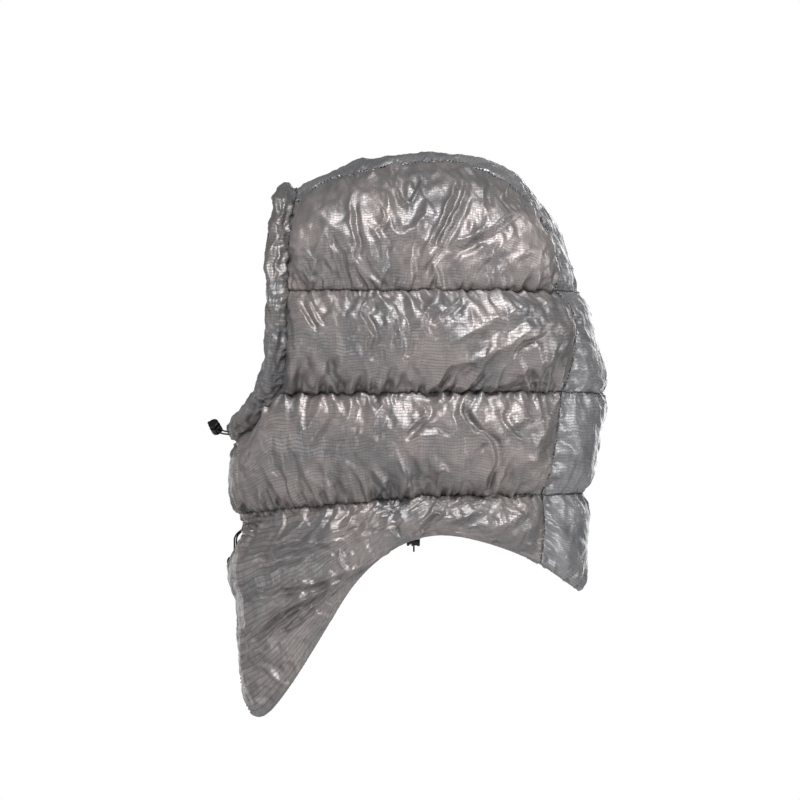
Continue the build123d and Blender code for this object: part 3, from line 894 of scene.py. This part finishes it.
def nylon(name, warm, cool, roughness, sheen, grain=0.85, rip=2.3):
    """Thin calendered ripstop nylon: two tones that drift, a fine raised grid and a weave."""
    mat, tree, bsdf = new_material(name, {
        "Sheen Weight": sheen, "Sheen Roughness": 0.4,
        "Specular IOR Level": NYLON_SPECULAR, "Metallic": METAL_SHEEN,
    })
    coords = add(tree, "TexCoord", {}).outputs
    blotch = noise(tree, coords["Object"], 26, 5, Roughness=0.55, Distortion=0.6)
    tone = two_tones(tree, blotch, cool, warm, 0.36, 0.64)

    # ripstop grid from the cloth's own coordinates, fainter along the warp
    split = add(tree, "SeparateXYZ", {0: coords["UV"]}).outputs
    warp, weft = (
        spread(tree, maths(tree, "PINGPONG", maths(tree, "MULTIPLY", split[axis], 1 / (rip * MM)), 0.5),
               1.0, 0.0, end=0.16, interpolation_type="SMOOTHSTEP")
        for axis in ("X", "Y"))
    grid = maths(tree, "MAXIMUM", maths(tree, "MULTIPLY", warp, 0.45), weft)

    # slubs: threads of uneven thickness along the weft
    drawn = add(tree, "Mapping", {"Vector": coords["UV"], "Scale": (60, 1300, 1)}).outputs[0]
    slub = spread(tree, noise(tree, drawn, 1.0, 2), 0.86, 1.14, 0.3, 0.7)
    toned = add(tree, "VectorMath", {0: tone, "Scale": slub}, operation="SCALE").outputs[0]
    shade = add(tree, "Mix", {
        "Factor": maths(tree, "MULTIPLY", grid, grain), "A": toned, "B": (0.50, 0.50, 0.51, 1),
    }, data_type="RGBA", blend_type="MULTIPLY")
    plug(tree, bsdf, "Base Color", shade.outputs["Result"])

    crinkle = bump(tree, noise(tree, coords["Object"], 150, 4, Distortion=0.4), 0.30, 0.0012)
    ripstop = bump(tree, grid, 0.35, 0.00022, crinkle)
    weave = bump(tree, noise(tree, coords["Object"], 2200, 1), 0.25, 0.00012, ripstop)
    plug(tree, bsdf, "Normal", weave)
    plug(tree, bsdf, "Roughness", spread(tree, blotch, roughness - 0.07, roughness + 0.10))
    return mat


def plain_noise(name, colour, roughness, scale, depth, metallic=0.0):
    """Small pieces: one colour broken by noise in colour, roughness and bump."""
    mat, tree, bsdf = new_material(name, {"Specular IOR Level": PLAIN_SPECULAR, "Metallic": metallic})
    fine = noise(tree, add(tree, "TexCoord", {}).outputs["Object"], scale, 3)
    dark, light = [c * 0.75 for c in colour], [min(1, c * 1.3) for c in colour]
    plug(tree, bsdf, "Base Color", two_tones(tree, fine, dark, light))
    plug(tree, bsdf, "Roughness", spread(tree, fine, roughness - 0.08, min(1, roughness + 0.08)))
    plug(tree, bsdf, "Normal", bump(tree, fine, 0.4, depth))
    return mat


SHELL = nylon("shell_nylon", (0.268, 0.239, 0.229), (0.168, 0.163, 0.166), 0.42, 0.06)
# The same shell nylon toned lighter and bluer for the centre strip: painted sky light where it grazes the
# strip
SHELL_SKY_TINTED = nylon("shell_nylon_sky_tinted", (0.285, 0.280, 0.286), (0.200, 0.202, 0.213), 0.40, 0.06)
LINING = nylon("lining_nylon", (0.215, 0.205, 0.200), (0.180, 0.182, 0.190), 0.52, 0.12, grain=0.35)
TUNNEL = nylon("tunnel_nylon", (0.215, 0.196, 0.186), (0.150, 0.149, 0.155), 0.43, 0.05)
THREAD = plain_noise("thread", (0.035, 0.034, 0.034), 0.6, 1500, 0.0001)
BINDING = plain_noise("binding_tape", (0.16, 0.15, 0.15), 0.6, 900, 0.0002)
CORD_BLACK = plain_noise("elastic_cord", (0.012, 0.012, 0.012), 0.55, 1800, 0.0002)
LOCK_BLACK = plain_noise("lock_plastic", (0.004, 0.004, 0.004), 0.42, 1200, 0.00005)
STEEL = plain_noise("spring_steel", (0.5, 0.5, 0.51), 0.3, 900, 0.00005, metallic=1.0)
DOWN = plain_noise("down_fill", (0.78, 0.75, 0.70), 0.9, 300, 0.001)


# ---- tubes: face tunnel, channel, binding
TUNNEL_ROUTE = [
    (-107, 0, -10.5), (-108.5, 24, -18), (-111.5, 43, -38), (-113.5, 56, -72),
    (-113, 61, -106), (-115, 60, -135), (-121, 53, -158), (-130.5, 40, -174),
    (-140, 22, -185), (-142.5, 7, -189),
]
TUNNEL_CELL = 0.9
TUNNEL_LEAN = (-1.0, 0.0, 0.18)
TUNNEL_DEEP = 9.6
TUNNEL_WIDE = 4.6
TUNNEL_SWELL = 3.6
UPWARD = (0.0, 0.0, 1.0)
STITCH_LEAN = np.array([1, 3, 0.5])
BINDING_CELL = 1.1
BINDING_REACH = (1.9, 1.25)
# The neck channel's reach to face, nape and side, its level, and its section.
CHANNEL = (131.6, 102.6, 65.7, -252.0)
CHANNEL_REACH = (3.9, 3.6)


def ring_piece(name, centres, across, up, profile, height, material, node):
    """A closed tube: profile gives the section's two reaches, height its folds."""
    s = run_along(np.vstack([centres, centres[:1]]))[:-1]
    count = profile.shape[0]
    turn = np.linspace(0, 2 * math.pi, count, endpoint=False)
    radial = across[:, None] * (np.cos(turn) * profile[:, 0])[None, :, None]
    radial = radial + up[:, None] * (np.sin(turn) * profile[:, 1])[None, :, None]
    out = radial / (np.linalg.norm(radial, axis=2, keepdims=True) + 1e-9)
    whole = s[-1] + np.linalg.norm(centres[0] - centres[-1])
    blend = np.clip((s - (whole - CLOSURE)) / CLOSURE, 0, 1)[:, None]
    blend = blend * blend * (3 - 2 * blend)
    folds = height(s[:, None], turn[None, :]) * (1 - blend)
    folds += height(s[:, None] - whole, turn[None, :]) * blend
    points = centres[:, None] + radial + out * folds[:, :, None]
    index = np.arange(len(centres) * count).reshape(-1, count)
    following = np.roll(index, -1, 0)
    corners = (index, following, np.roll(following, -1, 1), np.roll(index, -1, 1))
    mesh = smooth_mesh(name, unrest(points), np.stack(corners, -1).reshape(-1, 4).tolist())
    around = np.append(turn, 2 * math.pi) * profile.mean()
    uv = np.stack(np.broadcast_arrays(around[None, :], np.append(s, whole)[:, None]), -1) * MM
    lay_cloth(mesh, np.stack([uv[:-1, :-1], uv[1:, :-1], uv[1:, 1:], uv[:-1, 1:]], 2))
    return put_piece(name, mesh, material, [node])


def direction(line, reach=1):
    """The way of a closed line at each of its points."""
    way = np.roll(line, -reach, 0) - np.roll(line, reach, 0)
    return way / (np.linalg.norm(way, axis=1, keepdims=True) + 1e-9)


def closed_line(points, step):
    """Even points round a closed smooth line through the given ones."""
    lead = 3
    ring = points[-lead:] + points + points[: lead + 1]
    dense = spline(ring, 20 * len(ring))
    total = run_along(dense)
    gap = np.linalg.norm(dense - np.array(points[0]), axis=1)
    early = total < total[-1] / 2
    start, end = (total[np.argmin(gap + 1e9 * away)] for away in (~early, early))
    return points_at(dense, np.linspace(start, end, int((end - start) / step), endpoint=False))


def square_to(way, hint):
    """Unit vectors nearest to the hint and square to the way."""
    out = hint - way * (np.array(hint) * way).sum(1, keepdims=True)
    return out / np.linalg.norm(out, axis=1, keepdims=True)


def wrap(s, turn, size_s, size_t, seed):
    """Noise round a tube that meets itself where the turn closes."""
    return perlin(s / size_s + 0.8 * np.sin(turn) / size_t, 3 + np.cos(turn) / size_t, seed)


def ridges(s, turn, size_s, size_t, seed):
    """Sharp ridges round a tube, 1 at their tops."""
    return 1 - 3.6 * np.abs(wrap(s, turn, size_s, size_t, seed))


def build_tunnel():
    """The gathered face tunnel: bunched along its seam, with slack folds over its front."""
    line = closed_line(TUNNEL_ROUTE + mirrored(TUNNEL_ROUTE[:0:-1]), TUNNEL_CELL)
    way = direction(line)
    outward = square_to(way, TUNNEL_LEAN)
    turn = np.linspace(0, 2 * math.pi, 60, endpoint=False)
    front = 0.5 + 0.5 * np.cos(turn)
    profile = np.stack([TUNNEL_DEEP + 0 * turn, TUNNEL_WIDE + TUNNEL_SWELL * front], -1)
    low = np.clip((-140.0 - line[:, 2]) / 25.0, 0, 1)[:, None]

    def folds(s, t):
        seam = 0.5 - 0.5 * np.cos(t)
        n = wrap(s, t, 24.0, 1.0, 3)
        slack = 2.6 * wrap(s + 9 * n, t, 15.0, 0.9, 4) - 1.2 * np.abs(wrap(s, t, 19.0, 0.7, 8)) * 3
        pleat = ridges(s + 5 * np.sin(t) + 4 * n, t, 6.4, 1.6, 5) * (0.2 + 0.75 * seam + 0.8 * low)
        fine = ridges(s + 3 * np.cos(t), t, 2.9, 0.5, 6) * (0.10 + 0.2 * seam + 0.14 * low)
        return slack + pleat + fine

    obj = ring_piece("tunnel_face", line, outward, np.cross(way, outward), profile, folds, TUNNEL,
                     "face_tunnel")


def hem_line():
    """The whole hem, from the bib's tip round the wearer's left, the nape and the right."""
    left = spline(HEM_SIDE, 200)
    nape = centre_form("bib", STITCH_CELL)[-1]
    right = left[::-1] * np.array([1, -1, 1])
    return np.vstack([left[:-1], nape[1:-1], right[:-1]])


def even(line, step):
    """Even points round a closed line of points."""
    ring = np.vstack([line, line[:1]])
    whole = length(ring)
    return points_at(ring, np.linspace(0, whole, int(whole / step), endpoint=False))


def build_binding():
    """The folded tape round the hem, drawn in a little between its stitches."""
    line = even(hem_line(), BINDING_CELL)
    way = direction(line, 2)
    up = square_to(way, UPWARD)
    profile = np.tile(BINDING_REACH, (14, 1))

    def folds(s, t):
        return 0.10 * np.sin(s * 2 * math.pi / 3.2) + 0.2 * wrap(s, t, 5.0, 1.5, 14)

    ring_piece("binding_hem", line + up * BINDING_REACH[0], up, np.cross(way, up), profile, folds,
               BINDING, "hem_binding")


def build_channel():
    """The neck drawcord's channel inside the neck seam, gathered along its length."""
    turn = np.linspace(0, 2 * math.pi, 560, endpoint=False)
    face, nape, side, level = CHANNEL
    reach = np.where(np.cos(turn) > 0, face, nape)
    line = np.stack([-reach * np.cos(turn), side * np.sin(turn), np.full(turn.shape, level)], -1)
    up = np.tile(UPWARD, (len(line), 1))
    profile = np.tile(CHANNEL_REACH, (24, 1))

    def folds(s, t):
        return 1.0 - 2.6 * np.abs(wrap(s + 2 * np.sin(t), t, 4.6, 1.2, 9))

    ring_piece("channel_neck", line, up, np.cross(direction(line), up), profile, folds, LINING,
               "neck_channel")


# ---- stitches
def stitch_run(line, pitch, long, thick, out):
    """Stitches one after another along a line, each a short thread lying on the cloth."""
    points, faces = [], []
    spots = np.arange(pitch / 2, length(line), pitch)
    for first, last in zip(points_at(line, spots - long / 2), points_at(line, spots + long / 2)):
        way = (last - first) / (np.linalg.norm(last - first) + 1e-9)
        away = (first - HOOD_CENTRE) * STITCH_LEAN
        away -= way * (away @ way)
        away /= np.linalg.norm(away)
        side = np.cross(way, away)
        base = len(points)
        points.append(first + away * (out - thick))
        for place, size in ((0.18, 0.8), (0.5, 1.0), (0.82, 0.8)):
            middle = first + (last - first) * place + away * out
            for k in range(6):
                a = k * math.pi / 3
                points.append(middle + (away * math.sin(a) + side * math.cos(a)) * thick * size)
        points.append(last + away * (out - thick))
        for k in range(6):
            n = (k + 1) % 6
            faces.append((base, base + 1 + n, base + 1 + k))
            for r in (1, 7):
                faces.append((base + r + k, base + r + n, base + r + 6 + n, base + r + 6 + k))
            faces.append((base + 13 + k, base + 13 + n, base + 19))
    return points, faces


def stitches(name, lines, pitch=3.0, long=2.1, thick=0.32, out=0.5):
    """One piece holding the stitches of several seams."""
    points, faces = [], []
    for line in lines:
        more, ends = stitch_run(unrest(line), pitch, long, thick, out)
        faces += [tuple(i + len(points) for i in face) for face in ends]
        points += more
    put_piece(name, smooth_mesh(name, points, faces), THREAD)


def build_stitches():
    def both(lines):
        return lines + [mirrored(line) for line in lines]

    def dense(*lines):
        return [spline(line, 160) for line in lines]

    def across(name, row):
        return [centre_form(name, STITCH_CELL)[row]]

    stitches("stitch_face", both(dense(FACE_CROWN, FACE_EAR, FACE_JAW)) + across("crown", 0),
             pitch=2.6, long=1.7, thick=0.38, out=0.9)
    stitches("stitch_gusset", both(dense(*GUSSETS.values())), pitch=2.6, long=1.8, thick=0.42, out=1.3)
    for k, (name, seam) in enumerate((("crown", SEAM_1), ("ear", SEAM_2), ("jaw", SEAM_3)), 1):
        stitches(f"stitch_baffle_{k}", both([seam]) + across(name, -1), out=0.9)
    stitches("stitch_front", dense(FRONT_JAW, FRONT_BIB))
    stitches("stitch_hem", [hem_line() + np.array([0, 0, 3.4])], pitch=2.8, long=1.9, thick=0.26, out=0.9)


# ---- everything
for cord in ("face_drawcord", "neck_drawcord"):
    finish_cad(cord, CORD_BLACK)
for adjuster in ADJUSTERS:
    finish_cad(f"{adjuster}_lock_body", LOCK_BLACK)
    finish_cad(f"{adjuster}_lock_button", LOCK_BLACK)
    finish_cad(f"{adjuster}_lock_spring", STEEL)
build_springs()
free_loops(CORD_BLACK)
for k, chamber in enumerate(SIDE_CHAMBERS):
    build_chamber(chamber, "left", 11 + k)
    build_chamber(chamber, "right", 47 + k)
    build_chamber(chamber, "centre", 83 + k)
build_tunnel()
build_binding()
build_channel()
build_stitches()


# ---- floor and lights
# The floor's level and reach in metres, and how bright the sky is below and above.
FLOOR_LEVEL = -1.25
FLOOR_REACH = 9.0
SKY_LOW = 0.01
SKY_HIGH = 0.13
LIGHT_TARGET = Vector((0, 0, -0.17))
# Place and size in metres, and power in watts.
LIGHTS = {
    "key": ((0.0, -1.55, 1.6), 0.9, 70),
    "left": ((-1.7, -1.2, -0.4), 0.7, 9),
    "right": ((1.8, -1.0, -0.1), 0.7, 20),
    "low": ((0.1, -1.7, -0.9), 0.6, 3),
    "rear": ((0.7, 1.9, 0.0), 1.2, 22),
    "rear_low": ((-1.2, 1.6, -0.4), 0.9, 6),
    "front": ((-2.0, 0.3, 0.0), 0.9, 4),
}


def make_stage():
    pale, _, _ = new_material("pale", {"Base Color": (0.8, 0.8, 0.8, 1), "Roughness": 0.9})
    mesh = bpy.data.meshes.new("floor")
    corners = [(x * FLOOR_REACH, y * FLOOR_REACH, FLOOR_LEVEL)
               for x, y in ((-1, -1), (1, -1), (1, 1), (-1, 1))]
    mesh.from_pydata(corners, [], [(0, 1, 2, 3)])
    mesh.materials.append(pale)
    link("floor", mesh)


def area_light(name, place, size, power):
    data = bpy.data.lights.new(name, "AREA")
    data.energy = power
    data.size = size
    obj = link(name, data)
    obj.location = place
    obj.rotation_euler = (LIGHT_TARGET - Vector(place)).to_track_quat("-Z", "Y").to_euler()


def make_world():
    """White to the camera; the hood is lit by a soft sky that darkens towards the floor."""
    world = bpy.data.worlds.new("world")
    bpy.context.scene.world = world
    world.use_nodes = True
    tree = world.node_tree
    split = add(tree, "SeparateXYZ", {0: add(tree, "TexCoord", {}).outputs["Generated"]})
    soft = tree.nodes["Background"]
    soft.inputs["Color"].default_value = (0.97, 0.985, 1.0, 1)
    plug(tree, soft, "Strength", spread(tree, split.outputs["Z"], SKY_LOW, SKY_HIGH, -0.5, 0.9))
    seen = add(tree, "Background", {"Color": (1, 1, 1, 1)})
    looked_at = add(tree, "LightPath", {}).outputs["Is Camera Ray"]
    mix = add(tree, "MixShader", {0: looked_at, 1: soft.outputs[0], 2: seen.outputs[0]})
    plug(tree, tree.nodes["World Output"], "Surface", mix.outputs[0])


make_stage()
for name, light in LIGHTS.items():
    area_light(name, *light)
make_world()
bpy.context.scene.view_settings.view_transform = "Standard"
